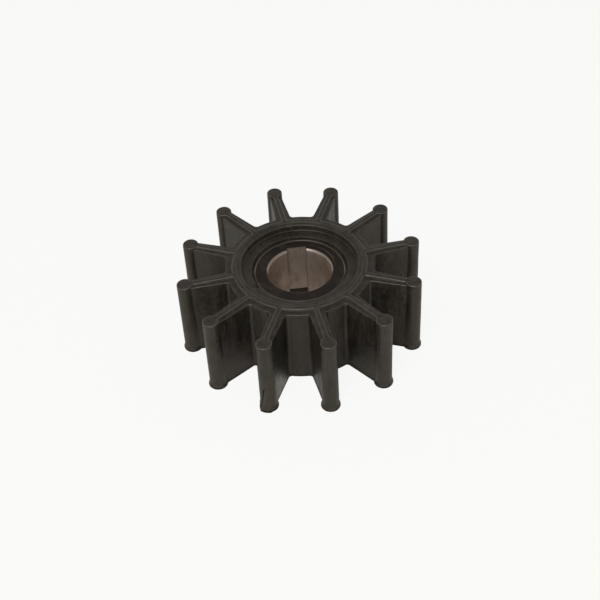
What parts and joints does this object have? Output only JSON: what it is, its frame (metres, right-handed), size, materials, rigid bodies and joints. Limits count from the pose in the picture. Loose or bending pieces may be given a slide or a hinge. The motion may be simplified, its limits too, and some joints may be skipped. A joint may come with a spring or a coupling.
{
  "type": "pump impeller",
  "caption": "Flexible rubber pump impeller: round hub with beaded radial vanes and a raised end rib, moulded round a metal insert with a keyed bore.",
  "frame": {"origin": "on the bore axis, in the plane of the plain end that the impeller stands on", "axes": "+Z along the bore towards the ribbed end; a pocket between vanes is centred on +X, and the keyway lies near +Y"},
  "size_m": [0.0622, 0.0622, 0.0224],
  "materials": {
    "rubber": "moulded, satin black with a fine grain and light dust",
    "insert_metal": "turned, dull brown with bright edges"
  },
  "bodies": {
    "root": {"impeller_body": "rubber", "hub_insert": "insert_metal"}
  },
  "joints": []
}
